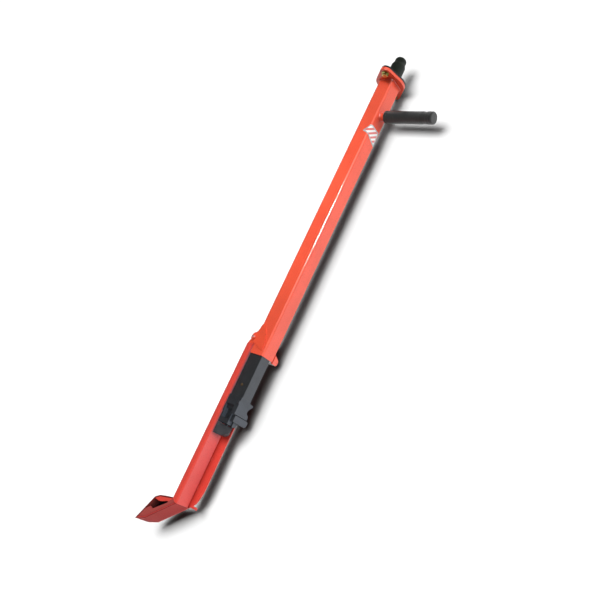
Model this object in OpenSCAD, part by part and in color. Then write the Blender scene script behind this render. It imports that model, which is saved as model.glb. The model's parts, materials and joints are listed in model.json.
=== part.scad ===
// Long-handled lever wrench with a screw-driven tongue, adjustable jaws and a
// hinged claw foot. Lengths in millimetres. +X runs up the lever towards the
// drive coupler, +Y is the side that the claw arm swings to, +Z is up when the
// tool lies on its side.

/* [Lever tube] */
// Outside width of the square lever tube
tube_w = 40; // [40:0.5:42]
// Wall of the lever tube
tube_wall = 2; // [1.8:0.1:2]
// Length of the lever tube
tube_len = 735; // [700:5:800]
// Outside corner radius of the lever tube
tube_r = 4.5; // [3:0.5:5]

/* [Top flange] */
// Thickness of the red flange plate
flange_t = 8; // [7.5:0.5:10]
// Middle radius of the oval flange
flange_r = 36; // [32:1:38]
// Radius of each bolt lobe
lobe_r = 15; // [13:0.5:17]
// Distance of each bolt from the axis
lobe_d = 42; // [40:1:46]
// Turn of the flange about the lever axis, in degrees
flange_turn = 12.5; // [0:0.5:20]
// Thickness of the black cap plate
cap_t = 5; // [4:0.5:6]

/* [Drive coupler] */
// Radius of the thick end of the coupler
coupler_r = 17.5; // [15:0.5:18]
// Length of the coupler beyond the cap plate
coupler_len = 63; // [56:1:80]
// Across flats of the square drive socket
drive_sq = 12.8; // [9.6:0.1:13]

/* [Side grip] */
// Height of the grip axis up the lever
grip_x = 640; // [600:5:680]
// Outside diameter of the grip sleeve
grip_d = 29.5; // [24:0.5:34]
// Reach of the grip from the tube face
grip_reach = 145; // [120:1:160]

/* [Tongue] */
// Height of the tongue bar between its two wide faces
tongue_h = 30.1; // [28:0.1:30.2]
// Length of bar that shows below the lever tube
tongue_out = 98; // [80:1:110]
// Length of bar held inside the lever tube
tongue_in = 150; // [120:5:170]
// Travel outwards from rest
tongue_max = 90; // [40:5:90]
// Travel inwards from rest
tongue_min = 60; // [20:5:60]

/* [Jaws] */
// Travel of the lower jaw
jaw_travel = 16; // [8:1:16]
// Radius of the knurled adjusting wheel
wheel_r = 10.8; // [9:0.1:10.9]

/* [Claw arm] */
// Distance of the hinge axis from the lever axis
hinge_y = 24.2; // [24.2:0.1:25]
// Distance of the hinge axis up the lever from the tube end
hinge_x = 34.5; // [33:0.5:36]
// Thickness of each hinge ear
ear_t = 2.6; // [2:0.1:3]
// Depth of the rectangular arm tube
arm_d = 16; // [14:0.5:18]
// Wall of the arm tube
arm_wall = 2.5; // [2:0.1:3]
// Distance of the heel below the tube end
heel_x = 350; // [340:1:360]
// Distance of the toe below the tube end
toe_x = 414.5; // [410:0.5:425]
// Reach of the toe from the lever axis
toe_y = 109.5; // [107:0.5:114]

/* [Hidden] */
$fn = 64;
e = 0.01;
tw = tube_w / 2;
ti = tw - tube_wall;
// Outer ends of the whole tool, which put the origin at the middle of its base
x_hi = tube_len + flange_t + cap_t + coupler_len;
x_lo = -toe_x;
y_lo = -tw - grip_reach;
y_hi = toe_y;
z_lo = -(lobe_d * cos(flange_turn) + lobe_r);
org = [-(x_hi + x_lo) / 2, -(y_hi + y_lo) / 2, -z_lo];
// Tongue section, in Y and Z
ty = ti - 0.3;
tz1 = ti - 0.3;
tz0 = tz1 - tongue_h;
hx = -tongue_out;          // upper end of the jaw head
jaw_x = hx - 38.2;         // face of the fixed jaw
wheel_y = 4.4;
wheel_z = 2;
ay0 = tw + 0.4;            // front face of the arm tube
ay1 = ay0 + arm_d;         // back face of the arm tube
az0 = -18.5;               // lower side of the arm tube
az1 = 23;                  // upper side of the arm tube
// Claw profile in X and Y: heel, ball, toe, brow, crown and back
claw = [[-heel_x, ay0], [-heel_x - 54.5, ay0 + 62.4], [-toe_x, toe_y], [-heel_x - 7.3, ay0 + 62.8],
  [-heel_x + 0.9, ay0 + 50.6], [-heel_x + 8.5, ay1]];
claw_t = [4, 4, 3, 3, 3, 0];   // plate behind each edge of the profile
// A profile edge moved inwards by its plate thickness, as a point and a direction
function edge(i) = let (p = claw[i], q = claw[(i + 1) % 6], v = (q - p) / norm(q - p)) [p + [v[1], -v[0]] * claw_t[i], v];
// Where two such lines meet
function meet(a, b) = let (d = b[0] - a[0], c = a[1][0] * b[1][1] - a[1][1] * b[1][0])
  a[0] + a[1] * (d[0] * b[1][1] - d[1] * b[1][0]) / c;
inner = [for (i = [0:5]) meet(edge((i + 5) % 6), edge(i))];

module place() { translate(org) children(); }
// Extrude a Y-Z outline along X, from x0 to x1
module along_x(x0, x1) { translate([x0, 0, 0]) rotate([90, 0, 90]) linear_extrude(x1 - x0) children(); }
// Extrude an X-Y outline along Z
module along_z(z0, z1) { translate([0, 0, z0]) linear_extrude(z1 - z0) children(); }
// Extrude an X-Z outline along Y
module along_y(y0, y1) { translate([0, y1, 0]) rotate([90, 0, 0]) linear_extrude(y1 - y0) children(); }
module cyl_x(r, x0, x1, y = 0, z = 0) { translate([x0, y, z]) rotate([0, 90, 0]) cylinder(r = r, h = x1 - x0); }
module cyl_y(r, y0, y1, x = 0, z = 0) { translate([x, y1, z]) rotate([90, 0, 0]) cylinder(r = r, h = y1 - y0); }
module cyl_z(r, z0, z1, x = 0, y = 0) { translate([x, y, z0]) cylinder(r = r, h = z1 - z0); }
// Box between two corners
module box(a, b) { translate(a) cube(b - a); }
// Rectangle with round corners, between two corners
module rrect(a, b, r) {
  translate([a[0] + r, a[1]]) square([b[0] - a[0] - 2 * r, b[1] - a[1]]);
  translate([a[0], a[1] + r]) square([b[0] - a[0], b[1] - a[1] - 2 * r]);
  for (x = [a[0] + r, b[0] - r], y = [a[1] + r, b[1] - r]) translate([x, y]) circle(r);
}
// Oval two-lobe plate outline, long axis along the second direction
module oval(R, r, d) {
  a = acos((R - r) / d);
  circle(R);
  for (s = [1, -1]) translate([0, s * d]) circle(r);
  polygon([for (q = [[1, 1], [-1, 1], [-1, -1], [1, -1]])
    each (q[0] * q[1] > 0
      ? [[q[0] * R * sin(a), q[1] * R * cos(a)], [q[0] * r * sin(a), q[1] * (d + r * cos(a))]]
      : [[q[0] * r * sin(a), q[1] * (d + r * cos(a))], [q[0] * R * sin(a), q[1] * R * cos(a)]])]);
}
// Positions of the two flange bolts, in Y and Z
function lobe(s) = [s * lobe_d * sin(-flange_turn), s * lobe_d * cos(flange_turn)];

// ---------- lever ----------
module main_tube() color([0.86, 0.27, 0.18]) place() difference() {
  along_x(0, tube_len) rrect([-tw, -tw], [tw, tw], tube_r);
  along_x(-1, tube_len + 1) rrect([-ti, -ti], [ti, ti], 1.6);
  cyl_z(4, -tw - 1, -ti + 1, 7, 0);
  cyl_y(5, -tw - 1, -ti + 1, grip_x, 0);
  // notch that clears the arm's knuckle
  box([hinge_x - 6.6, ti - 0.1, -tw - 1], [hinge_x + 6.6, tw + 1, tw + 1]);
}

module end_lip() color([0.88, 0.33, 0.24]) place() difference() {
  along_y(-tw, tw) polygon([[-2.5, -tw], [-2.5, -33], [1, -36], [8, -36], [11, -34], [18, -tw]]);
  cyl_z(4, -38, -tw + 1, 7, 0);
  along_z(-tw - ear_t, -tw + 1) ear_outline();
}

module liner_pad() color([0.78, 0.8, 0.76]) place() difference() {
  box([-2.5, -ti + 1.7, -ti], [120, ti - 1.7, tz0 - 0.3]);
  cyl_z(4.3, -ti - 1, tz0, 7, 0);
}

module guide_screw() color([0.75, 0.75, 0.78]) place() difference() {
  union() {
    cyl_z(6.5, -42, -36, 7, 0);
    cyl_z(4, -36, tz0 + 2.3, 7, 0);
  }
  translate([7, 0, -42 - 1]) cylinder(r = 3.46, h = 4, $fn = 6);
}

// Hinge ear on one side face of the tube, drawn in X and Y
module ear_outline() difference() {
  union() {
    translate([hinge_x, hinge_y]) circle(8);
    polygon([[70, 14], [66, 17.5], [56, 19], [49.5, 21], [46, 25.5], [44.5, 28.5], [41, 30.9], [hinge_x, hinge_y + 8], [hinge_x, hinge_y],
      [hinge_x - 8, hinge_y], [23, 19], [18, 7], [11.5, -8], [13, -10.5], [24, -11.5], [36, -9], [58, 2]]);
  }
  translate([hinge_x, hinge_y]) circle(3.5);
}
module hinge_ear_upper() color([0.86, 0.29, 0.2]) place() along_z(tw, tw + ear_t) ear_outline();
module hinge_ear_lower() color([0.86, 0.29, 0.2]) place() along_z(-tw - ear_t, -tw) ear_outline();

module hinge_pin() color([0.8, 0.8, 0.82]) place() translate([hinge_x, hinge_y, 0]) {
  cyl_z(3.5, -tw - 11.5, tw + ear_t);
  translate([0, 0, tw + ear_t]) rotate_extrude()
    polygon([[0, 0], [6, 0], [6, 1.2], [5.5, 2.4], [4.1, 3.3], [2.2, 3.8], [0, 3.9]]);
}

module hinge_washer() color([0.75, 0.75, 0.78]) place() translate([hinge_x, hinge_y, -tw - ear_t - 1.4])
  difference() { cylinder(r = 7.4, h = 1.4); translate([0, 0, -1]) cylinder(r = 3.5, h = 4); }

module hinge_nut() color([0.72, 0.72, 0.75]) place() translate([hinge_x, hinge_y, -tw - ear_t - 7.2])
  difference() { cylinder(r = 6.6, h = 5.8, $fn = 6); translate([0, 0, -1]) cylinder(r = 3.5, h = 9); }

// ---------- top flange and drive bearing ----------
module top_flange() color([0.86, 0.27, 0.18]) place() difference() {
  along_x(tube_len, tube_len + flange_t) rotate(flange_turn) oval(flange_r, lobe_r, lobe_d);
  cyl_x(12, tube_len - 1, tube_len + flange_t + 1);
  cyl_x(21.5, tube_len + 2, tube_len + flange_t + 1);
  for (s = [1, -1]) cyl_x(4.1, tube_len - 1, tube_len + flange_t + 1, lobe(s)[0], lobe(s)[1]);
}

module cap_plate() color([0.09, 0.09, 0.1]) place() difference() {
  along_x(tube_len + flange_t, tube_len + flange_t + cap_t)
    rotate(flange_turn) oval(flange_r - 1, lobe_r - 1, lobe_d);
  cyl_x(coupler_r + 0.5, tube_len, x_hi);
  for (s = [1, -1]) cyl_x(4, tube_len, tube_len + flange_t + cap_t + 1, lobe(s)[0], lobe(s)[1]);
}

module flange_bolts() color([0.83, 0.72, 0.35]) place() for (s = [1, -1])
  translate([tube_len, lobe(s)[0], lobe(s)[1]]) rotate([0, 90, 0]) {
    translate([0, 0, -7.6]) cylinder(r = 7.5, h = 5.8, $fn = 6);
    translate([0, 0, -1.8]) cylinder(r = 4, h = flange_t + cap_t + 1.2);
  }

module flange_washers() color([0.8, 0.7, 0.38]) place() for (s = [1, -1])
  translate([tube_len - 1.8, lobe(s)[0], lobe(s)[1]]) rotate([0, 90, 0])
    difference() { cylinder(r = 9, h = 1.8); translate([0, 0, -1]) cylinder(r = 4, h = 4); }

module coupler_bush() color([0.72, 0.53, 0.3]) place() difference() {
  cyl_x(12, tube_len - 14, tube_len + 2);
  cyl_x(7.06, tube_len - 15, tube_len + 3);
}

module thrust_washer() color([0.72, 0.53, 0.3]) place() difference() {
  cyl_x(21, tube_len + 2, tube_len + 3.4);
  cyl_x(8, tube_len + 1, tube_len + 4);
}

module shaft_guide() color([0.85, 0.85, 0.82]) place() difference() {
  along_x(430, 445) rrect([-ti, -ti], [ti, ti], 1.6);
  cyl_x(7.08, 429, 446);
}

module drive_coupler() color([0.16, 0.17, 0.16]) place() difference() {
  translate([tube_len, 0, 0]) rotate([0, 90, 0]) rotate_extrude() polygon([
    [0, 3.5], [20.5, 3.5], [20.5, flange_t - 0.4], [coupler_r, flange_t - 0.4],
    [coupler_r, flange_t + cap_t + coupler_len * 0.64], [coupler_r - 0.7, flange_t + cap_t + coupler_len * 0.67],
    [coupler_r - 2.9, flange_t + cap_t + coupler_len * 0.76], [coupler_r - 3.5, flange_t + cap_t + coupler_len * 0.81],
    [coupler_r - 3.2, flange_t + cap_t + coupler_len * 0.88], [coupler_r - 3.7, flange_t + cap_t + coupler_len * 0.93],
    [coupler_r - 5.5, flange_t + cap_t + coupler_len * 0.98], [coupler_r - 7, flange_t + cap_t + coupler_len], [0, flange_t + cap_t + coupler_len]]);
  translate([x_hi - 18, -drive_sq / 2, -drive_sq / 2]) cube([19, drive_sq, drive_sq]);
  cyl_x(7, tube_len + 1, tube_len + 30);
}

module drive_shaft() color([0.62, 0.63, 0.65]) place() difference() {
  cyl_x(7, 250, tube_len + 30);
  cyl_y(2, -8, 8, 262, 0);
}

module shaft_sleeve() color([0.5, 0.5, 0.53]) place() difference() {
  cyl_x(11.5, 226, 274);
  cyl_x(7, 250, 275);
  cyl_x(6, 225, 250);
  for (x = [238, 262]) cyl_y(2, -12, 12, x, 0);
}

module shaft_pins() color([0.66, 0.66, 0.68]) place() for (x = [238, 262]) cyl_y(2, -11.4, 11.4, x, 0);

module lead_screw() color([0.66, 0.67, 0.7]) place() difference() {
  union() {
    cyl_x(8, 20, 226);
    cyl_x(6, 226, 250);
    // chamfered lead-in at the free end
    translate([17, 0, 0]) rotate([0, 90, 0]) cylinder(r1 = 5.5, r2 = 8, h = 3);
  }
  cyl_y(2, -8, 8, 238, 0);
}

// ---------- side grip ----------
module grip_stub() color([0.84, 0.26, 0.18]) place() difference() {
  cyl_y(9, -tw - 14, -tw, grip_x, 0);
  cyl_y(5, -tw - 15, -tw + 1, grip_x, 0);
}
module grip_spindle() color([0.7, 0.7, 0.72]) place() {
  cyl_y(5, -tw - grip_reach + 8, -ti + 6, grip_x, 0);
  translate([grip_x, -ti + 2, 0]) rotate([90, 0, 0]) cylinder(r = 8.5, h = 2, $fn = 6);
}
module grip_ferrule() color([0.12, 0.12, 0.13]) place() difference() {
  cyl_y(grip_d / 2 + 0.3, -tw - 19, -tw - 14, grip_x, 0);
  cyl_y(5, -tw - 20, -tw - 13, grip_x, 0);
}
module grip_sleeve() color([0.13, 0.13, 0.14]) place() difference() {
  cyl_y(grip_d / 2, -tw - grip_reach + 9, -tw - 19, grip_x, 0);
  cyl_y(5, -tw - grip_reach, -tw, grip_x, 0);
}
module grip_end_cap() color([0.2, 0.2, 0.2]) place() translate([grip_x, -tw - grip_reach + 9, 0]) rotate([90, 0, 0])
  difference() {
    rotate_extrude() polygon([[0, 0], [grip_d / 2 - 0.2, 0], [grip_d / 2 - 0.2, 6.2], [grip_d / 2 - 1.2, 8.2], [grip_d / 2 - 3, 9], [0, 9]]);
    translate([0, 0, -1]) cylinder(r = 5, h = 2);
  }

// Thin badge folded round one corner of the tube
module label_plate() color([0.9, 0.9, 0.88]) place() intersection() {
  difference() {
    along_x(560, 610) rrect([-tw - 0.4, -tw - 0.4], [tw + 0.4, tw + 0.4], tube_r + 0.4);
    along_x(555, 615) rrect([-tw, -tw], [tw, tw], tube_r);
  }
  union() {
    // part on the side face
    along_y(-tw - 1, -tw + 1.2) polygon([[566, -16.5], [569, -17.6], [602, -14.6], [603.8, -12.5], [605, 16], [604, 21], [579, 21]]);
    // part on the upper face
    along_z(tw - 1.2, tw + 1) polygon([[579, -21], [604, -21], [603.4, -18], [588, -2.8], [586, -3.2]]);
    box([579.5, -tw - 1, tw - 4.7], [603.8, -tw + 4.7, tw + 1]);
  }
}

// ---------- tongue ----------
module tongue_bar() color([0.2, 0.21, 0.23]) place() difference() {
  along_x(hx, tongue_in) rrect([-ty, tz0], [ty, tz1], 1.4);
  cyl_x(9, hx + 6, tongue_in + 1);
  cyl_x(11, tongue_in - 26, tongue_in + 1);
  box([7 - tongue_min - 4.3, -4.3, tz0 - 1], [7 + tongue_max + 4.3, 4.3, tz0 + 2.6]);
  cyl_z(2, 8.5, tz1 + 1, -72, 0);
  for (y = [-12.5, 12.5]) cyl_x(2.5, hx - 1, hx + 14, y, 11.5);
}
module screw_nut() color([0.75, 0.58, 0.3]) place() difference() {
  cyl_x(11, tongue_in - 26, tongue_in);
  cyl_x(8.06, tongue_in - 27, tongue_in + 1);
}
module stop_rivet() color([0.8, 0.5, 0.25]) place() translate([-72, 0, 0]) {
  cyl_z(2, 9.6, tz1);
  translate([0, 0, tz1]) rotate_extrude() polygon([[0, 0], [3.4, 0], [3.2, 0.7], [2.2, 1.3], [0, 1.6]]);
}
// Fixed jaw and carrier for the adjusting wheel
module jaw_head() color([0.17, 0.18, 0.2]) place() difference() {
  union() {
    // block next to the bar
    box([jaw_x, -ty - 0.3, tz0 - 0.4], [hx, ty + 0.3, 19.5]);
    // rear carrier beside the moving jaw
    box([-161, -9.1, tz0 - 0.4], [jaw_x, ty + 0.3, 17.6]);
    // hooked nose of the fixed jaw
    along_y(-ty - 0.3, -5.2) polygon([[hx - 2, tz0 + 1], [hx - 3.4, -14], [hx - 4, -24], [hx - 5.6, -26.3], [hx - 8, -26.2],
      [hx - 11, -22.4], [hx - 15, -18.6], [hx - 20, -16], [hx - 23.5, -15.8], [hx - 26, -17.6], [hx - 28.5, -22.4], [hx - 31, -24.6],
      [hx - 34.5, -25.3], [jaw_x, -25], [jaw_x, tz0 + 1]]);
    // side lug
    along_y(-ty - 0.3, -11) polygon([[hx - 7, 19], [hx - 9, 22], [hx - 14, 22], [hx - 17, 19]]);
  }
  // wheel window
  box([-149.5, -6.9, -9.2], [-128.5, 15.6, 21]);
  // scallop above the window
  cyl_y(9, -6.9, 15.6, -127, 23);
  cyl_x(3.8, -162, -106, wheel_y, wheel_z);
  for (y = [-12.5, 12.5]) cyl_x(2.5, hx - 14, hx + 1, y, 11.5);
}
module head_screws() color([0.3, 0.3, 0.32]) place() for (y = [-12.5, 12.5])
  cyl_x(2.5, hx - 13, hx + 13, y, 11.5);

module thumbwheel() color([0.3, 0.31, 0.32]) place() difference() {
  translate([0, wheel_y, wheel_z]) along_x(-149, -129)
    polygon([for (i = [0:59]) let (r = wheel_r - (i % 2) * 0.7, a = i * 6) [r * cos(a), r * sin(a)]]);
  cyl_x(3.56, -150, -128, wheel_y, wheel_z);
}
module jaw_screw() color([0.55, 0.55, 0.57]) place() cyl_x(3.5, -176, -110, wheel_y, wheel_z);

// Moving jaw with its carriage rail
module lower_jaw() color([0.2, 0.21, 0.24]) place() {
  difference() {
    union() {
      box([-152.3, -ty - 0.3, tz0 - 0.6], [jaw_x - 1.2, -9.5, 14]);
      along_y(-ty - 0.3, -5.2) polygon([[jaw_x - 1.2, tz0 - 0.6], [jaw_x - 1.2, -27], [jaw_x - 3.6, -32], [-146, -32.5], [-151, -30.4], [-152.3, -27], [-152.3, tz0 - 0.6]]);
      box([-163, -13.5, -1], [-152.3, -9.5, 5]);
    }
    // relief along the outer edge
    along_x(-153, -150) polygon([[-19, 15], [-19, 11], [-16, 15]]);
  }
}
module nose_wedge() color([0.42, 0.42, 0.45]) place() difference() {
  intersection() {
    along_x(-187, -163) polygon([[18, 17.4], [15, 17.4], [-12.5, 0], [-7, -6], [18, -6]]);
    along_z(-20, 20) polygon([[-163, 18], [-187, 18], [-187, 7], [-186.2, 2], [-183.8, -3], [-179, -8.5], [-173, -12], [-163, -13]]);
  }
  cyl_x(3.5, -176, -162, wheel_y, wheel_z);
}

// ---------- claw arm ----------
module arm_knuckle() color([0.86, 0.29, 0.2]) place() difference() {
  union() {
    cyl_z(6, -tw + 0.4, tw - 0.4, hinge_x, hinge_y);
    along_z(az0, tw - 0.4) polygon([[18, ay0], [hinge_x, ay0], [hinge_x, hinge_y], [hinge_x + 2.3, hinge_y + 5.54],
      [31, hinge_y + 6.8], [26, hinge_y + 9.8], [21.5, ay1 - 0.6], [18, ay1]]);
  }
  cyl_z(4.8, -tw - 1, tw + 1, hinge_x, hinge_y);
}
module hinge_bush() color([0.72, 0.53, 0.3]) place() translate([hinge_x, hinge_y, 0]) difference() {
  cyl_z(4.8, -tw + 0.4, tw - 0.4);
  cyl_z(3.56, -tw, tw);
}
module arm_tube() color([0.88, 0.33, 0.26]) place() difference() {
  along_x(-heel_x - 1, 18) rrect([ay0, az0], [ay1, az1], 4.5);
  along_x(-heel_x - 2, 19) rrect([ay0 + arm_wall, az0 + arm_wall], [ay1 - arm_wall, az1 - arm_wall], 2);
  // mitre towards the claw
  along_z(az0 - 1, az1 + 1) polygon([claw[0], claw[5], claw[5] + [0, 10], [-heel_x - 20, ay1 + 10], [-heel_x - 20, ay0 - 5], claw[0] + [0, -5]]);
}
module arm_side_plate() color([0.84, 0.28, 0.2]) place() along_z(az0 - 3, az0) polygon([
  [-5, ay1], [-5, 6], [-12, -0.8], [-301, -0.8], [-316, 0.8], [-326, 3], [-335, 6], [-341, 10.4], [-346, 16],
  claw[0], claw[1], claw[2], claw[3], claw[4], claw[5]]);
module claw_sole() color([0.66, 0.3, 0.28]) place() along_z(az0, az1)
  polygon([claw[0], claw[1], claw[2], inner[2], inner[1], inner[0]]);
module claw_hood() color([0.74, 0.26, 0.22]) place() along_z(az0, az1)
  polygon([claw[2], claw[3], claw[4], claw[5], inner[5], inner[4], inner[3], inner[2]]);
// Web on the upper side, with an open window between its two arms
module claw_cheek() color([0.8, 0.3, 0.26]) place() along_z(az1 - 3, az1)
  polygon([inner[0], inner[1], inner[2], inner[2] + (inner[3] - inner[2]) * 0.42, [-380.5, 85.5], [-378, 83], [-380.6, 74.5],
    [-378.5, 71], [-356, 42.5], [-352.5, 43], [-356.5, 52], [-359.5, 60], [-361, 68], [-360, 76.5],
    [-359.8, 80.5], inner[3], inner[4], inner[5]]);
module heel_peg() color([0.9, 0.42, 0.38]) place() difference() {
  cyl_y(2.8, -4, 14, -344, az0 + 1.6);
  box([-350, -5, az0 - 3], [-340, 15, az0]);
}

main_tube();
end_lip();
liner_pad();
guide_screw();
hinge_ear_upper();
hinge_ear_lower();
hinge_pin();
hinge_washer();
hinge_nut();
top_flange();
cap_plate();
flange_bolts();
flange_washers();
coupler_bush();
thrust_washer();
shaft_guide();
grip_stub();
grip_spindle();
grip_ferrule();
grip_sleeve();
grip_end_cap();
label_plate();
drive_coupler();
drive_shaft();
shaft_sleeve();
shaft_pins();
lead_screw();
tongue_bar();
screw_nut();
jaw_head();
head_screws();
stop_rivet();
lower_jaw();
nose_wedge();
jaw_screw();
thumbwheel();
arm_knuckle();
hinge_bush();
arm_tube();
arm_side_plate();
claw_sole();
claw_hood();
claw_cheek();
heel_peg();
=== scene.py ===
# Looks for the long-handled lever tool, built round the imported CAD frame.
# Lengths in the helpers are millimetres in the tool's own frame (X up the
# lever, Y towards the claw's side, Z up); P() turns them into row metres.
import bpy, bmesh, math, json, random
from mathutils import Vector, Matrix, noise


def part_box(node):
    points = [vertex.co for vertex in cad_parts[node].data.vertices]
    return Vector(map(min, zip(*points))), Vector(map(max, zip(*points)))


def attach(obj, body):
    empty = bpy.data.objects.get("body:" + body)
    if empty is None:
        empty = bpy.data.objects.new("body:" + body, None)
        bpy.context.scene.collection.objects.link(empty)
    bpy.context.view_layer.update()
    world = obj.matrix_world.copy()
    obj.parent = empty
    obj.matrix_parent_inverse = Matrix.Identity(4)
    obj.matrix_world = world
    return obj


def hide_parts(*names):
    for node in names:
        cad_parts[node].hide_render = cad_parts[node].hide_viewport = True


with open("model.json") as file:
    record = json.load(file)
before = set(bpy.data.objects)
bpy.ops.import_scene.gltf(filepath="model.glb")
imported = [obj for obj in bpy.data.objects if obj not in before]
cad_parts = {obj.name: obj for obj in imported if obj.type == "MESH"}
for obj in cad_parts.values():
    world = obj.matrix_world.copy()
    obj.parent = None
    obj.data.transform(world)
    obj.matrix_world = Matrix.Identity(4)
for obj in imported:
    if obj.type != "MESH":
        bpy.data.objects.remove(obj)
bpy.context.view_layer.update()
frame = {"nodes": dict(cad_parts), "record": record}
N = frame["nodes"]
BODY = {n: b for b, ns in frame["record"]["behaviour"]["bodies"].items() for n in ns}
SLOT = {s["node"]: s["material_slot"] for s in frame["record"]["subparts"]}
scene = bpy.context.scene
rnd = random.Random(7)

lo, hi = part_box("main_tube")
ORG = Vector((lo.x, lo.y + 0.020, lo.z + 0.020))


def P(x, y, z):
    return Vector((x / 1000, y / 1000, z / 1000)) + ORG


def loc(v):
    return (Vector(v) - ORG) * 1000


# ------------------------------------------------------------------ camera
cam_data = bpy.data.cameras.new("camera")
cam = bpy.data.objects.new("camera", cam_data)
scene.collection.objects.link(cam)
right, up, back = Vector((0.41160, -0.74753, -0.52136)), Vector((0.87835, 0.17284, 0.44566)), Vector((-0.24303, -0.64137, 0.72773))
m = Matrix((right, up, back)).transposed().to_4x4()
m.translation = P(-248.5, -1080.6, 1189.9)
cam.matrix_world = m
cam_data.lens, cam_data.sensor_width = 44.60, 36.0
cam_data.dof.use_dof = False
scene.camera = cam

# --------------------------------------------------------------- materials
def lin(r, g, b):
    f = lambda c: (c / 255 / 12.92) if c / 255 <= 0.04045 else ((c / 255 + 0.055) / 1.055) ** 2.4
    return (f(r), f(g), f(b), 1.0)


class Mat:
    """A small helper round one node tree."""

    def __init__(self, name):
        self.m = bpy.data.materials.new(name)
        self.m.use_nodes = True
        self.t = self.m.node_tree
        self.b = self.t.nodes["Principled BSDF"]
        self.co = self.n("ShaderNodeTexCoord").outputs["Object"]

    def n(self, kind, **kw):
        x = self.t.nodes.new(kind)
        for k, v in kw.items():
            setattr(x, k, v)
        return x

    def link(self, a, b):
        self.t.links.new(a, b)

    def noise(self, scale, detail=4.0, rough=0.55, stretch=None, dist=0.0):
        x = self.n("ShaderNodeTexNoise")
        x.inputs["Scale"].default_value = scale
        x.inputs["Detail"].default_value = detail
        x.inputs["Roughness"].default_value = rough
        x.inputs["Distortion"].default_value = dist
        src = self.co
        if stretch:
            mp = self.n("ShaderNodeMapping")
            mp.inputs["Scale"].default_value = stretch
            self.link(self.co, mp.inputs["Vector"])
            src = mp.outputs["Vector"]
        self.link(src, x.inputs["Vector"])
        return x.outputs["Fac"]

    def ramp(self, fac, stops):
        r = self.n("ShaderNodeValToRGB")
        while len(r.color_ramp.elements) < len(stops):
            r.color_ramp.elements.new(0.5)
        for e, (p, c) in zip(r.color_ramp.elements, stops):
            e.position = p
            e.color = c if len(c) == 4 else (*c, 1.0)
        self.link(fac, r.inputs["Fac"])
        return r.outputs["Color"]

    def mix(self, fac, a, b):
        x = self.n("ShaderNodeMix", data_type="RGBA")
        self.link(fac, x.inputs["Factor"])
        for s, v in ((x.inputs["A"], a), (x.inputs["B"], b)):
            if isinstance(v, (tuple, list)):
                s.default_value = v if len(v) == 4 else (*v, 1.0)
            else:
                self.link(v, s)
        return x.outputs["Result"]

    def bump(self, height, strength, distance):
        x = self.n("ShaderNodeBump")
        x.inputs["Strength"].default_value = strength
        x.inputs["Distance"].default_value = distance
        self.link(height, x.inputs["Height"])
        if self.b.inputs["Normal"].is_linked:
            self.link(self.b.inputs["Normal"].links[0].from_socket, x.inputs["Normal"])
        self.link(x.outputs["Normal"], self.b.inputs["Normal"])

    def rough(self, fac, a, b):
        x = self.n("ShaderNodeMapRange")
        x.inputs["To Min"].default_value = a
        x.inputs["To Max"].default_value = b
        self.link(fac, x.inputs["Value"])
        self.link(x.outputs["Result"], self.b.inputs["Roughness"])

    def color(self, c):
        self.link(c, self.b.inputs["Base Color"])


def shade(c, k):
    return (min(1, c[0] * k), min(1, c[1] * k), min(1, c[2] * k), 1.0)


def paint(name, base, rough=0.42, chips=0.0, peel=0.10, coat=0.25, spec=0.5, coat_rough=0.22):
    """Powder coat: slow colour drift, fine orange peel, dust, and chips on worn edges."""
    k = Mat(name)
    drift = k.ramp(k.noise(9, 3, 0.6), [(0.30, shade(base, 0.90)), (0.70, shade(base, 1.08))])
    speck = k.ramp(k.noise(420, 2, 0.5), [(0.56, (0, 0, 0)), (0.74, (1, 1, 1))])
    c = k.mix(speck, drift, shade(base, 0.80))
    if chips:
        wear = k.ramp(k.noise(150, 6, 0.72), [(0.60 - chips, (0, 0, 0)), (0.64 - chips, (1, 1, 1))])
        c = k.mix(wear, c, shade(base, 0.55))
        bare = k.ramp(k.noise(260, 6, 0.75), [(0.66 - chips, (0, 0, 0)), (0.69 - chips, (1, 1, 1))])
        c = k.mix(bare, c, (0.16, 0.15, 0.15, 1))
    k.color(c)
    k.rough(k.noise(60, 4), rough - 0.05, rough + 0.09)
    k.bump(k.noise(650, 3, 0.5), peel, 0.0003)
    k.bump(k.noise(45, 2, 0.5), 0.05, 0.0008)
    k.b.inputs["Specular IOR Level"].default_value = spec
    k.b.inputs["Coat Weight"].default_value = coat
    k.b.inputs["Coat Roughness"].default_value = coat_rough
    return k.m


def steel(name, base, rough=0.35, metal=1.0, along=(40, 900, 900), scratch=0.12, spots=0.15, spec=0.5):
    """Worked metal: turning or grinding lines, blotches and light scratches."""
    k = Mat(name)
    blot = k.ramp(k.noise(70, 5, 0.6), [(0.30, shade(base, 1 - spots)), (0.72, shade(base, 1 + spots))])
    lines = k.noise(1.0, 3, 0.6, stretch=along)
    k.color(k.mix(k.ramp(lines, [(0.35, (0, 0, 0)), (0.75, (1, 1, 1))]), blot, shade(base, 1.25)))
    k.b.inputs["Metallic"].default_value = metal
    k.b.inputs["Specular IOR Level"].default_value = spec
    k.rough(k.noise(120, 5), rough - 0.08, rough + 0.12)
    k.bump(lines, scratch, 0.0002)
    return k.m


def forged(name, base, rough=0.55, metal=0.25, spec=0.5, grain=0.35):
    """Blackened forging: scale texture, rubbed patches."""
    k = Mat(name)
    big = k.noise(55, 6, 0.65)
    c = k.ramp(big, [(0.28, shade(base, 0.70)), (0.52, base), (0.75, shade(base, 1.35))])
    rub = k.ramp(k.noise(140, 5, 0.7), [(0.60, (0, 0, 0)), (0.72, (1, 1, 1))])
    k.color(k.mix(rub, c, shade(base, 1.7)))
    k.b.inputs["Metallic"].default_value = metal
    k.b.inputs["Specular IOR Level"].default_value = spec
    k.rough(big, rough - 0.1, rough + 0.12)
    k.bump(k.noise(380, 5, 0.6), grain, 0.0004)
    return k.m


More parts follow.
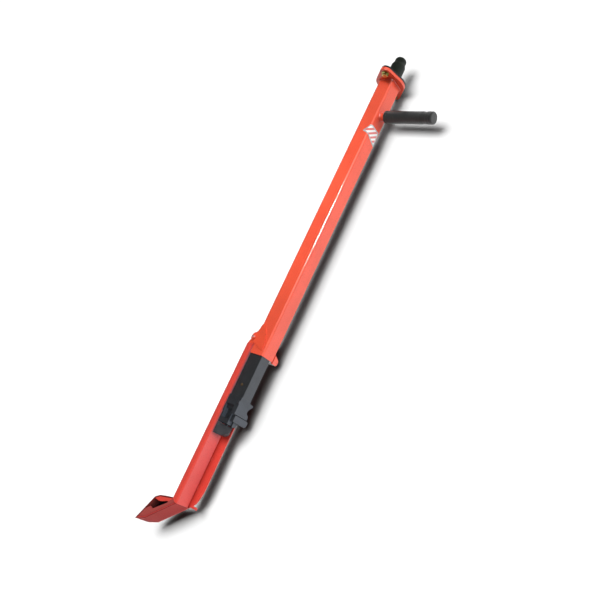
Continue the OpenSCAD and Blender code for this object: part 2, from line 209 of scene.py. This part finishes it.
def rubber(name, base, rough=0.55, spec=0.45):
    k = Mat(name)
    dust = k.ramp(k.noise(35, 6, 0.7), [(0.45, base), (0.80, shade(base, 1.9))])
    k.color(dust)
    k.b.inputs["Specular IOR Level"].default_value = spec
    k.rough(k.noise(90, 4), rough - 0.06, rough + 0.12)
    k.bump(k.noise(900, 3, 0.6), 0.18, 0.0003)
    return k.m


RED = (0.790, 0.084, 0.036, 1)
ARM = (0.660, 0.061, 0.044, 1)
M = {
    "red_paint": paint("red powder coat", RED, spec=0.14, coat=0.60, coat_rough=0.09),
    "arm_paint": paint("arm powder coat", ARM, coat=0.05, spec=0.34),
    # bevels of the red coat: 3% lighter as a painted highlight along the edges, with a few real chips
    "red_edge_highlight_and_wear": paint("red coat rubbed edge", shade(RED, 1.03), chips=0.02, spec=0.28, coat=0.45, coat_rough=0.12),
    "arm_edge": paint("arm coat rubbed edge", shade(ARM, 0.95), chips=0.02, coat=0.05, spec=0.3),
    # ear plate side faces and bevels: slightly darker, less glossy red, painted shade that keeps the lit plate outline
    # from standing out
    "ear_edge_shade": paint("ear plate edge painted shade", shade(RED, 0.97), chips=0.01, spec=0.14, coat=0.2),
    "rivet": forged("browned rivet", (0.110, 0.075, 0.040, 1), rough=0.5, metal=0.3, spec=0.4, grain=0.1),
    "weld": paint("painted weld bead", shade(RED, 0.97), rough=0.36, peel=0.25),
    "arm_weld": paint("painted arm weld bead", shade(ARM, 0.95), rough=0.36, peel=0.25),
    "claw_paint": paint("claw powder coat", (0.460, 0.052, 0.048, 1), rough=0.62, coat=0.0, spec=0.10),
    # darker red for the cheek faces towards the toe
    "web_paint": paint("scuffed claw web", (0.350, 0.062, 0.055, 1), rough=0.62, coat=0.0, spec=0.10),
    "claw_edge": paint("claw coat rubbed edge", (0.170, 0.018, 0.016, 1), rough=0.6, chips=0.02, coat=0.0, spec=0.2),
    "black_plate": paint("black plate coat", (0.012, 0.014, 0.014, 1), rough=0.5, coat=0.0, spec=0.3),
    "black_steel": forged("oxided bar steel", (0.023, 0.025, 0.028, 1), rough=0.46, metal=0.15, spec=0.75, grain=0.16),
    "jaw_steel": forged("blackened jaw forging", (0.026, 0.029, 0.034, 1), rough=0.50, metal=0.2, spec=0.75),
    "nose_steel": forged("worn nose forging", (0.052, 0.053, 0.058, 1), rough=0.52, metal=0.2, spec=0.5),
    "coupler_black": forged("phosphated coupler", (0.014, 0.018, 0.014, 1), rough=0.58, metal=0.1, spec=0.25, grain=0.2),
    "grip_rubber": rubber("grip rubber", (0.028, 0.029, 0.029, 1), rough=0.42, spec=0.6),
    "zinc": steel("bright zinc", (0.62, 0.63, 0.64, 1), rough=0.34),
    "gold_zinc": steel("yellow zinc", (0.46, 0.45, 0.16, 1), rough=0.22, spots=0.3),
    "bronze": steel("bearing bronze", (0.50, 0.33, 0.16, 1), rough=0.38),
    "machined": steel("turned steel", (0.42, 0.43, 0.45, 1), rough=0.30),
    "liner": rubber("bearing plastic", (0.55, 0.57, 0.53, 1), rough=0.5),
}
# plain badge: pale ground, two tones of slanting bars, no lettering
k = Mat("badge")
sep = k.n("ShaderNodeSeparateXYZ")
k.link(k.co, sep.inputs[0])
dia = k.n("ShaderNodeMath", operation="MULTIPLY_ADD")
k.link(sep.outputs["X"], dia.inputs[0]); dia.inputs[1].default_value = 1.0
neg = k.n("ShaderNodeMath", operation="MULTIPLY"); k.link(sep.outputs["Z"], neg.inputs[0]); neg.inputs[1].default_value = 0.8
k.link(neg.outputs[0], dia.inputs[2])
wav = k.n("ShaderNodeMath", operation="MULTIPLY"); k.link(dia.outputs[0], wav.inputs[0]); wav.inputs[1].default_value = 2 * math.pi / 0.0125
sn = k.n("ShaderNodeMath", operation="SINE"); k.link(wav.outputs[0], sn.inputs[0])
half = k.n("ShaderNodeMath", operation="MULTIPLY_ADD"); k.link(sn.outputs[0], half.inputs[0]); half.inputs[1].default_value = 0.5; half.inputs[2].default_value = 0.5
bars = k.ramp(half.outputs[0], [(0.44, (0, 0, 0)), (0.54, (1, 1, 1))])
pale = k.ramp(k.noise(60, 4), [(0.3, (0.80, 0.79, 0.78)), (0.7, (0.92, 0.91, 0.90))])
k.color(k.mix(bars, pale, (0.70, 0.16, 0.14, 1)))
k.rough(k.noise(90, 4), 0.3, 0.45)
k.bump(k.noise(500, 2), 0.05, 0.0002)
M["badge"] = k.m
M["badge_rim"] = rubber("badge rim", (0.36, 0.38, 0.38, 1), rough=0.4)


def hollow_shade_paint():
    """Inside of the claw: painted shade, darkest deep in the hollow and fading out towards the top."""
    k = Mat("claw inside painted shade")
    sp = k.n("ShaderNodeSeparateXYZ")
    k.link(k.co, sp.inputs[0])
    mr = k.n("ShaderNodeMapRange")
    mr.inputs["From Min"].default_value = P(0, 0, -8).z
    mr.inputs["From Max"].default_value = P(0, 0, 12).z
    k.link(sp.outputs["Z"], mr.inputs["Value"])
    add = k.n("ShaderNodeMath", operation="MULTIPLY_ADD")
    k.link(k.noise(90, 4), add.inputs[0])
    add.inputs[1].default_value = 0.35
    k.link(mr.outputs["Result"], add.inputs[2])
    # painted shade: near-black teal low in the hollow, dark red near its top
    k.color(k.ramp(add.outputs[0], [(0.12, (0.003, 0.010, 0.011)), (0.42, (0.012, 0.010, 0.010)), (0.80, (0.34, 0.060, 0.050))]))
    k.rough(k.noise(120, 4), 0.55, 0.8)
    k.b.inputs["Specular IOR Level"].default_value = 0.2
    k.bump(k.noise(300, 4), 0.2, 0.0004)
    return k.m


# painted shade for the claw's inner faces
M["claw_hollow_shade"] = hollow_shade_paint()

pieces = []


def show(name, bm, body, mats, smooth=40, replaces=(), slot=None, bevel=None, apply=True):
    """Turn a bmesh (row metres) into a finished piece on a body."""
    me = bpy.data.meshes.new(name)
    bm.to_mesh(me)
    bm.free()
    ob = bpy.data.objects.new(name, me)
    scene.collection.objects.link(ob)
    for x in (mats if isinstance(mats, (list, tuple)) else [mats]):
        me.materials.append(M[x])
    if bevel:
        w, seg, ang = bevel
        b = ob.modifiers.new("round", "BEVEL")
        b.width, b.segments, b.limit_method, b.angle_limit = w / 1000, seg, "ANGLE", math.radians(ang)
        b.profile, b.use_clamp_overlap, b.miter_outer = 0.5, True, "MITER_ARC"
        if len(me.materials) > 1:
            b.material = 1
        g = ob.modifiers.new("normals", "WEIGHTED_NORMAL")
        g.keep_sharp, g.weight = True, 50
        for p in me.polygons:
            p.use_smooth = True
        dg = bpy.context.evaluated_depsgraph_get()
        done = bpy.data.meshes.new_from_object(ob.evaluated_get(dg))
        ob.modifiers.clear()
        ob.data = done
        me = done
    else:
        for p in me.polygons:
            p.use_smooth = True
        me.set_sharp_from_angle(angle=math.radians(smooth))
    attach(ob, body)
    if replaces:
        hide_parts(*replaces)
    pieces.append(ob)
    return ob


def cad_bmesh(node):
    """The CAD node's surface with its triangles joined back into flat faces."""
    src = N[node].data
    bm = bmesh.new()
    vs = [bm.verts.new(v.co) for v in src.vertices]
    bm.verts.ensure_lookup_table()
    for p in src.polygons:
        try:
            bm.faces.new([vs[i] for i in p.vertices])
        except ValueError:
            pass
    bmesh.ops.remove_doubles(bm, verts=bm.verts, dist=2e-6)
    bmesh.ops.dissolve_degenerate(bm, edges=bm.edges, dist=1e-6)
    bmesh.ops.dissolve_limit(bm, angle_limit=math.radians(0.6), use_dissolve_boundaries=False, verts=bm.verts, edges=bm.edges)
    bmesh.ops.recalc_face_normals(bm, faces=bm.faces)
    return bm


# bevel faces take these edge coats; the red one carries a painted highlight
EDGE = {"red_paint": "red_edge_highlight_and_wear", "arm_paint": "arm_edge"}


def soften(node, width=0.5, seg=2, angle=33, mat=None, edge=None, extra=(), paintby=None, cuts=(), slot=None):
    """The node with its edges rounded as on the real piece."""
    s = slot or SLOT[node]
    m1 = mat or s
    m2 = edge or EDGE.get(m1, m1)
    bm = cad_bmesh(node)
    for p, n in cuts:
        bmesh.ops.bisect_plane(bm, geom=bm.verts[:] + bm.edges[:] + bm.faces[:], plane_co=P(*p), plane_no=Vector(n))
    if paintby:
        for fc in bm.faces:
            k = paintby(loc(fc.calc_center_median()), fc.normal)
            if k is not None:
                fc.material_index = k
    return show("soft_" + node, bm, BODY[node], [m1, m2, *extra], replaces=(node,), slot=s, bevel=(width, seg, angle))


# ------------------------------------------------------- mesh construction
def lathe(profile, n, place, wobble=None):
    """Surface of revolution: profile is (distance along axis, radius) in mm; place maps (axial, a, b) to row metres."""
    bm = bmesh.new()
    rings = []
    for s, r in profile:
        if r < 1e-6:
            rings.append([bm.verts.new(place(s, 0, 0))])
            continue
        ring = []
        for i in range(n):
            t = 2 * math.pi * i / n
            q = r if wobble is None else wobble(s, r, t)
            ring.append(bm.verts.new(place(s, q * math.cos(t), q * math.sin(t))))
        rings.append(ring)
    for a, b in zip(rings, rings[1:]):
        if len(a) == 1 and len(b) == 1:
            continue
        for i in range(n):
            j = (i + 1) % n
            if len(a) == 1:
                bm.faces.new([a[0], b[i], b[j]])
            elif len(b) == 1:
                bm.faces.new([a[i], b[0], a[j]])
            else:
                bm.faces.new([a[i], b[i], b[j], a[j]])
    bmesh.ops.recalc_face_normals(bm, faces=bm.faces)
    return bm


def resample(pts, step, closed):
    pts = [Vector(p) for p in pts]
    if closed:
        pts = pts + [pts[0]]
    out, acc = [], 0.0
    for a, b in zip(pts, pts[1:]):
        d = (b - a).length
        k = max(1, round(d / step))
        for i in range(k):
            out.append(a.lerp(b, i / k))
    if not closed:
        out.append(pts[-1])
    return out


def bead(name, pts, r, body, mat="weld", closed=False, seed=1, pitch=None, sides=12, flat=1.0):
    """Weld bead: a rope of overlapping ripples along pts (local mm)."""
    g = random.Random(seed)
    pitch = pitch or r * 0.9
    path = resample(pts, max(0.35, r * 0.22), closed)
    n = len(path)
    bm = bmesh.new()
    rings, s = [], 0.0
    ph = g.random() * 6
    for i, p in enumerate(path):
        a = path[(i - 1) % n] if (closed or i) else path[0]
        b = path[(i + 1) % n] if (closed or i < n - 1) else path[-1]
        t = (b - a).normalized()
        ref = Vector((0.31, 0.52, 0.79))
        u = t.cross(ref).normalized()
        v = t.cross(u)
        s += (path[i] - path[i - 1]).length if i else 0
        saw = (s / pitch) % 1.0
        k = 1 + 0.10 * math.sin(math.pi * saw) + 0.09 * noise.noise(Vector((s * 0.11, ph, seed)))
        if not closed:
            k *= min(1.0, 0.35 + min(i, n - 1 - i) * 0.16)
        off = Vector((noise.noise(Vector((s * 0.16, ph + 9, seed))), noise.noise(Vector((s * 0.16, ph + 19, seed))), noise.noise(Vector((s * 0.16, ph + 29, seed))))) * r * 0.10
        rings.append([bm.verts.new(P(*(p + off + (u * math.cos(w) + v * math.sin(w)) * r * k))) for w in [2 * math.pi * j / sides for j in range(sides)]])
    m_ = n if closed else n - 1
    for i in range(m_):
        A, B = rings[i], rings[(i + 1) % n]
        for j in range(sides):
            q = (j + 1) % sides
            bm.faces.new([A[j], A[q], B[q], B[j]])
    if not closed:
        bm.faces.new(rings[0])
        bm.faces.new(rings[-1])
    bmesh.ops.recalc_face_normals(bm, faces=bm.faces)
    return show(name, bm, body, mat, smooth=70, slot="arm_paint" if mat.startswith("arm") else "red_paint")


# ---------------------------------------------- every CAD node gets a finish
for node, ob in N.items():
    ob.data.materials.clear()
    ob.data.materials.append(M[SLOT[node]])

INNER = [(-347.99, 24.18), (-401.01, 84.88), (-407.85, 103.14), (-359.32, 80.83), (-351.91, 69.8), (-343.67, 32.31)]


def inside(x, y):
    c = False
    for (x1, y1), (x2, y2) in zip(INNER, INNER[1:] + INNER[:1]):
        if (y1 > y) != (y2 > y) and x < (x2 - x1) * (y - y1) / (y2 - y1) + x1:
            c = not c
    return c


# inner walls of the claw, which take the painted hollow shade
def claw_wall(c, n):
    return 2 if abs(n.z) < 0.5 and inside(c.x + n.x, c.y + n.y) else None


# hood: upward faces take the dark claw edge coat, inner walls the painted hollow shade
def hood_face(c, n):
    return 3 if n.z > 0.5 else claw_wall(c, n)


# cheek: downward faces take the painted hollow shade, faces towards the toe the darker web red
def web_face(c, n):
    if n.z < -0.5:
        return 2
    return None if c.x > -362 and c.x + c.y > -311.5 else 3


for node, w, seg in (
    ("main_tube", 0.35, 2), ("top_flange", 1.0, 3), ("cap_plate", 0.8, 3), ("arm_tube", 0.4, 2),
    ("arm_knuckle", 0.8, 3), ("tongue_bar", 0.45, 2), ("jaw_head", 1.1, 3), ("lower_jaw", 1.3, 3),
    ("nose_wedge", 1.2, 3), ("heel_peg", 0.5, 3), ("grip_stub", 0.3, 2), ("liner_pad", 0.4, 2), ("guide_screw", 0.7, 3),
    ("hinge_washer", 0.3, 2), ("hinge_nut", 0.6, 2), ("flange_bolts", 0.7, 2), ("flange_washers", 0.35, 2),
    ("drive_coupler", 0.5, 3), ("grip_ferrule", 0.8, 3), ("grip_end_cap", 0.5, 2),
    ("shaft_sleeve", 0.5, 2), ("screw_nut", 0.4, 2), ("hinge_bush", 0.3, 2), ("coupler_bush", 0.4, 2)):
    soften(node, w, seg)
# ear plates: side faces and bevels take the painted-shade red
for node in ("hinge_ear_upper", "hinge_ear_lower"):
    soften(node, 1.0, 4, edge="ear_edge_shade", extra=("ear_edge_shade",), paintby=lambda c, n: 2 if abs(n.z) < 0.5 else None)
soften("stop_rivet", 0.2, 2, mat="rivet")
# painted highlight: a small bright zinc disc on the top of the red pin head stands in for its glint
soften("hinge_pin", 0.3, 2, mat="red_paint", edge="red_edge_highlight_and_wear", extra=("zinc",), paintby=lambda c, n: 2 if n.z > 0.99 and c.z > 24 else None)
soften("end_lip", 0.9, 3, extra=("liner",), paintby=lambda c, n: 2 if n.x < -0.6 else None)
# inner walls, undersides and the side plate's floor inside the claw take the painted hollow shade
soften("claw_sole", 0.8, 3, mat="claw_paint", edge="claw_edge", extra=("claw_hollow_shade",), paintby=claw_wall)
soften("claw_hood", 0.9, 3, mat="arm_paint", edge="claw_edge", extra=("claw_hollow_shade", "claw_edge"), paintby=hood_face)
soften("claw_cheek", 0.7, 3, mat="arm_paint", edge="claw_edge", extra=("claw_hollow_shade", "web_paint"), cuts=(((-354, 42.5, 0), (1, 1, 0)),), paintby=web_face)
soften("arm_side_plate", 0.9, 3, extra=("claw_hollow_shade",), cuts=(((-350, 30, 0), (1, -0.53, 0)),),
       paintby=lambda c, n: 2 if n.z > 0.5 and c.x < -352 else None)


# -------------------------------------------------------------- turned parts
def turned(name, node, profile, n, place, wobble=None, mat=None, smooth=35):
    bm = lathe(list(profile) + [profile[0]], n, place, wobble)
    bmesh.ops.remove_doubles(bm, verts=bm.verts, dist=1e-6)
    bmesh.ops.recalc_face_normals(bm, faces=bm.faces)
    return show(name, bm, BODY[node], mat or SLOT[node], smooth=smooth, replaces=(node,), slot=SLOT[node])


def steps(a, b, d):
    k = max(1, round((b - a) / d))
    return [a + (b - a) * i / k for i in range(k + 1)]


# grip: smooth shoulder, fluted panel, plain band and a groove near the end
def grip_r(s):
    R = 14.72
    if s < 40.2:
        return R - 0.8 * (40.2 - s) / 1.2
    for a, b, d in ((57.5, 132.0, 0.18), (138.0, 149.0, 0.9)):
        if a <= s <= b:
            return R - d * min(1.0, (s - a) / 0.9, (b - s) / 0.9)
    return R


def flutes(s, r, t):
    if r < 13 or not 58.4 < s < 131.1:
        return r
    k = min(1.0, (s - 58.4) / 1.5, (131.1 - s) / 1.5)
    cross = 0.35 + 0.65 * abs(math.sin(math.pi * s / 3.2))
    return r - 0.40 * k * cross * (0.5 - 0.5 * math.cos(30 * t))


ss = steps(39.0, 57.5, 1.0)[:-1] + steps(57.5, 132.0, 0.8)[:-1] + steps(132.0, 138.0, 0.9)[:-1] + steps(138.0, 149.0, 0.9)[:-1] + steps(149.0, 156.0, 0.9)
turned("grip_sleeve_ribbed", "grip_sleeve", [(39.0, 5.0)] + [(q, grip_r(q)) for q in ss] + [(156.0, 5.0)], 180,
       lambda q, a, b: P(640 + a, -q, b), flutes, smooth=50)


def knurl(s, r, t):
    if r < 10.2:
        return r
    k = min(1.0, (s + 148.6) / 0.8, (-129.4 - s) / 0.8)
    return r - 0.55 * max(0.0, k) * (1 - max(abs(math.sin(14 * t + 0.55 * s)), abs(math.sin(14 * t - 0.55 * s)))) / 0.3


ws = steps(-148.4, -129.6, 0.35)
turned("wheel_knurled", "thumbwheel", [(-149.0, 3.56), (-149.0, 9.4), (-148.7, 10.0)] + [(q, 10.76) for q in ws] + [(-129.3, 10.0), (-129.0, 9.4), (-129.0, 3.56)],
       168, lambda q, a, b: P(q, 4.4 + a, 2 + b), knurl, smooth=60)


def thread(lead, depth, lo_, hi_, starts=1, flat=0.3):
    def f(s, r, t):
        if not lo_ < s < hi_:
            return r
        u = (s / lead * 1.0 - t / (2 * math.pi) * 1.0) * starts % 1.0
        k = max(0.0, min(1.0, (abs(u - 0.5) * 2 - flat) / (1 - 2 * flat)))
        return r - depth * (1 - k)
    return f


turned("jaw_screw_cut", "jaw_screw", [(-176.0, 0.0), (-176.0, 3.0)] + [(q, 3.48) for q in steps(-175.5, -110.5, 0.3)] + [(-110.0, 3.0), (-110.0, 0.0)],
       32, lambda q, a, b: P(q, 4.4 + a, 2 + b), thread(1.5, 0.6, -175, -111), smooth=50)

# ---------------------------------------------------------------- the badge
ARC0, ARC1, RB = 15.5, 15.5 + 4.9 * math.pi / 2, 4.9


def wrap(x, s, lift):
    """Point of the unrolled badge (x along the tube, s up the side and over the corner)."""
    if s <= ARC0:
        return P(x, -20.4 - lift, s)
    if s >= ARC1:
        return P(x, -15.5 + (s - ARC1), 20.4 + lift)
    a = (s - ARC0) / RB
    return P(x, -15.5 - (RB + lift) * math.cos(a), 15.5 + (RB + lift) * math.sin(a))


face = [(571.0, -13.9), (600.0, -11.4), (601.0, -10.2), (601.9, 14.0), (600.8, 18.7), (588.6, 31.4), (587.6, 31.0), (581.4, 19.7), (579.4, 14.0)]
bm = bmesh.new()
f0 = bm.faces.new([bm.verts.new((x, q, 0)) for x, q in face])
for i in range(1, 50):
    q = -16 + i
    bmesh.ops.bisect_plane(bm, geom=bm.verts[:] + bm.edges[:] + bm.faces[:], plane_co=(0, q, 0), plane_no=(0, 1, 0))
bot = bm.faces[:]
ext = bmesh.ops.extrude_face_region(bm, geom=bot)
for v in [g for g in ext["geom"] if isinstance(g, bmesh.types.BMVert)]:
    v.co.z = 0.22
for v in bm.verts:
    v.co = wrap(v.co.x, v.co.y, v.co.z - 0.05)
bmesh.ops.recalc_face_normals(bm, faces=bm.faces)
show("badge_face", bm, "lever", "badge", smooth=40, slot="badge")
soften("label_plate", 0.12, 2, angle=50, mat="badge_rim")

# -------------------------------------------------------------- weld beads
q, r0 = 20.5, 5.0
ring = []
for cx, cy, a0 in ((q - r0, q - r0, 0), (-q + r0, q - r0, 90), (-q + r0, -q + r0, 180), (q - r0, -q + r0, 270)):
    ring += [(733.9, cx + r0 * math.cos(math.radians(a0 + i * 15)), cy + r0 * math.sin(math.radians(a0 + i * 15))) for i in range(7)]
bead("weld_flange", ring, 2.0, "lever", closed=True, seed=3, pitch=2.6)
ear = [(66, 17.5), (70, 14), (58, 2), (36, -9), (24, -11.5), (13, -10.5), (11.5, -8), (18, 7), (23, 19)]
bead("weld_ear_upper", [(x, y, 20.05) for x, y in ear], 0.35, "lever", seed=5, pitch=2.0)
bead("weld_ear_lower", [(x, y, -20.1) for x, y in ear[:5]], 0.8, "lever", seed=6, pitch=2.0)
bead("weld_lip", [(18.7, -19.0, -20.5), (18.7, 19.0, -20.5)], 1.5, "lever", seed=7, pitch=2.2)
bead("weld_grip", [(640 + 9.6 * math.cos(math.radians(a)), -20.6, 9.6 * math.sin(math.radians(a))) for a in range(0, 360, 12)], 1.7, "lever", closed=True, seed=8, pitch=2.3)
bead("weld_knuckle", [(18.6, 21.6, 19.9), (18.6, 35.2, 19.9)], 1.2, "claw_arm", mat="arm_weld", seed=9, pitch=2.0)
bead("weld_heel", [(-349.0, 21.6, 23.0), (-342.6, 34.0, 23.0)], 0.85, "claw_arm", mat="arm_weld", seed=10, pitch=1.6)
for i, x in enumerate((-40, -105, -170, -235, -300)):
    bead("tack_%d" % i, [(x, 20.2, -18.2), (x - 9, 20.2, -18.2)], 1.0, "claw_arm", mat="arm_weld", seed=20 + i, pitch=1.8)

# ------------------------------------------------------------- world, lights
w = bpy.data.worlds.new("studio")
scene.world = w
w.use_nodes = True
bg = w.node_tree.nodes["Background"]
bg.inputs["Color"].default_value = (1, 1, 1, 1)
bg.inputs["Strength"].default_value = 0.14
bg2 = w.node_tree.nodes.new("ShaderNodeBackground")
bg2.inputs["Color"].default_value = (1, 1, 1, 1)
bg2.inputs["Strength"].default_value = 1.0
lp = w.node_tree.nodes.new("ShaderNodeLightPath")
mx = w.node_tree.nodes.new("ShaderNodeMixShader")
wo = w.node_tree.nodes["World Output"]
w.node_tree.links.new(lp.outputs["Is Camera Ray"], mx.inputs[0])
w.node_tree.links.new(bg.outputs[0], mx.inputs[1])
w.node_tree.links.new(bg2.outputs[0], mx.inputs[2])
w.node_tree.links.new(mx.outputs[0], wo.inputs["Surface"])

# one level floor in three strips, so each end of the tool can have its own overhead light
floors = []
xa, xb = P(-318, 0, 0)[0], P(598, 0, 0)[0]
for name, x0, x1 in (("floor_claw_end", -6.0, xa), ("floor_middle", xa, xb), ("floor_grip_end", xb, 6.0)):
    fl = bmesh.new()
    for x, y in ((x0, -6), (x1, -6), (x1, 6), (x0, 6)):
        fl.verts.new((x, y, -0.0005))
    fl.faces.new(fl.verts)
    fme = bpy.data.meshes.new(name)
    fl.to_mesh(fme); fl.free()
    floors.append(bpy.data.objects.new(name, fme))
    scene.collection.objects.link(floors[-1])
kf = Mat("pale floor")
kf.color(kf.ramp(kf.noise(3, 3), [(0.3, (0.040, 0.040, 0.040)), (0.7, (0.041, 0.041, 0.041))]))
kf.b.inputs["Roughness"].default_value = 0.9
kf.b.inputs["Specular IOR Level"].default_value = 0.1
for o in floors:
    o.data.materials.append(kf.m)


tool_set = bpy.data.collections.new("tool")
floor_set = bpy.data.collections.new("ground")
grip_set = bpy.data.collections.new("side grip")
shine_set = bpy.data.collections.new("lever shine")
steel_set = bpy.data.collections.new("blackened steel")
for c in (tool_set, floor_set, grip_set, shine_set, steel_set):
    scene.collection.children.link(c)
strip_sets = []
for o in floors:
    floor_set.objects.link(o)
    strip_sets.append(bpy.data.collections.new("strip of " + o.name))
    scene.collection.children.link(strip_sets[-1])
    strip_sets[-1].objects.link(o)
for o in pieces + list(N.values()):
    tool_set.objects.link(o)
    if "grip" in o.name and "weld" not in o.name and "stub" not in o.name:
        grip_set.objects.link(o)
    if o.name.startswith(("soft_main_tube", "soft_top_flange", "soft_hinge_pin", "weld_flange", "weld_grip", "soft_grip_stub")):
        shine_set.objects.link(o)
    if o.name.startswith(("soft_tongue_bar", "soft_jaw_head", "soft_lower_jaw")):
        steel_set.objects.link(o)


def sun(name, direction, strength, angle, only=None, diffuse=1.0, glossy=1.0, shadow=True, colour=(1, 1, 1)):
    d = bpy.data.lights.new(name, "SUN")
    d.energy, d.angle, d.color = strength, math.radians(angle), colour
    d.diffuse_factor, d.specular_factor, d.use_shadow = diffuse, glossy, shadow
    o = bpy.data.objects.new(name, d)
    o.rotation_euler = (-Vector(direction)).to_track_quat("-Z", "Y").to_euler()   # direction points to the light
    o.visible_diffuse, o.visible_glossy = diffuse > 0, glossy > 0
    scene.collection.objects.link(o)
    if only:
        o.light_linking.receiver_collection = only
    return o


# the floor's own lights whiten it and throw the soft shadow
for strip, slants in zip(strip_sets, (
        ((0.14, 0.09, 0.36), (0.18, -0.02, 0.24), (0.26, -0.18, 0.22), (0.45, -0.40, 0.08), (0.20, 0.33, 0.09)),
        ((0.08, 0.09, 0.36), (0.08, -0.02, 0.24), (0.08, -0.18, 0.22), (0.08, -0.40, 0.08), (0.08, 0.33, 0.09)),
        ((-0.16, 0.09, 0.36), (-0.15, -0.02, 0.24), (-0.20, -0.18, 0.22), (-0.25, -0.40, 0.08), (-0.10, 0.33, 0.09)))):
    for dx, dy, part in slants:
        sun("overhead", (dx, dy, 1.0), 82 * part * math.sqrt(1 + dx * dx + dy * dy) / 1.02, 30, only=strip, glossy=0.0)
sun("floor base", (0.0, 0.0, 1.0), 82 * 0.050, 20, only=floor_set, glossy=0.0, shadow=False)
sun("key", (0.25, 0.10, 1.0), 2.4, 30, only=tool_set, glossy=0.0)
sun("fill", (0.38, -0.90, 0.25), 2.2, 40, only=tool_set, glossy=0.0)
sun("bounce", (0.20, -0.655, -0.735), 0.75, 25, only=tool_set, diffuse=0.0, shadow=False, colour=(0.88, 1.0, 1.22))   # the floor's sheen on the near side


def lamp(name, kind, at, to, energy, only=None, diffuse=1.0, glossy=1.0, **kw):
    d = bpy.data.lights.new(name, kind)
    d.energy = energy
    for k_, v_ in kw.items():
        setattr(d, k_, v_)
    o = bpy.data.objects.new(name, d)
    o.location = at
    o.rotation_euler = (to - at).to_track_quat("-Z", "Y").to_euler()
    o.visible_diffuse, o.visible_glossy = diffuse > 0, glossy > 0
    scene.collection.objects.link(o)
    if only:
        o.light_linking.receiver_collection = only
    return o


lamp("ridge", "AREA", P(876, -560, 1390), P(330, -20, 20), 105.0, only=shine_set, diffuse=0.0, shape="DISK", size=0.36)
lamp("pool", "SPOT", P(390, -60, 1000), P(390, 0, 20), 13.0, only=tool_set, glossy=0.0, spot_size=math.radians(38), spot_blend=1.0, shadow_soft_size=0.15)
sun("steel sheen", (0.08, -0.665, -0.74), 0.42, 30, only=steel_set, diffuse=0.0, shadow=False, colour=(0.12, 0.55, 1.15))
sun("grip rim", (0.75, 0.64, 0.20), 0.45, 14, only=grip_set, diffuse=0.0, shadow=False)

scene.view_settings.view_transform = "Standard"
scene.view_settings.look = "None"
scene.view_settings.exposure = 0.0
scene.view_settings.gamma = 1.0
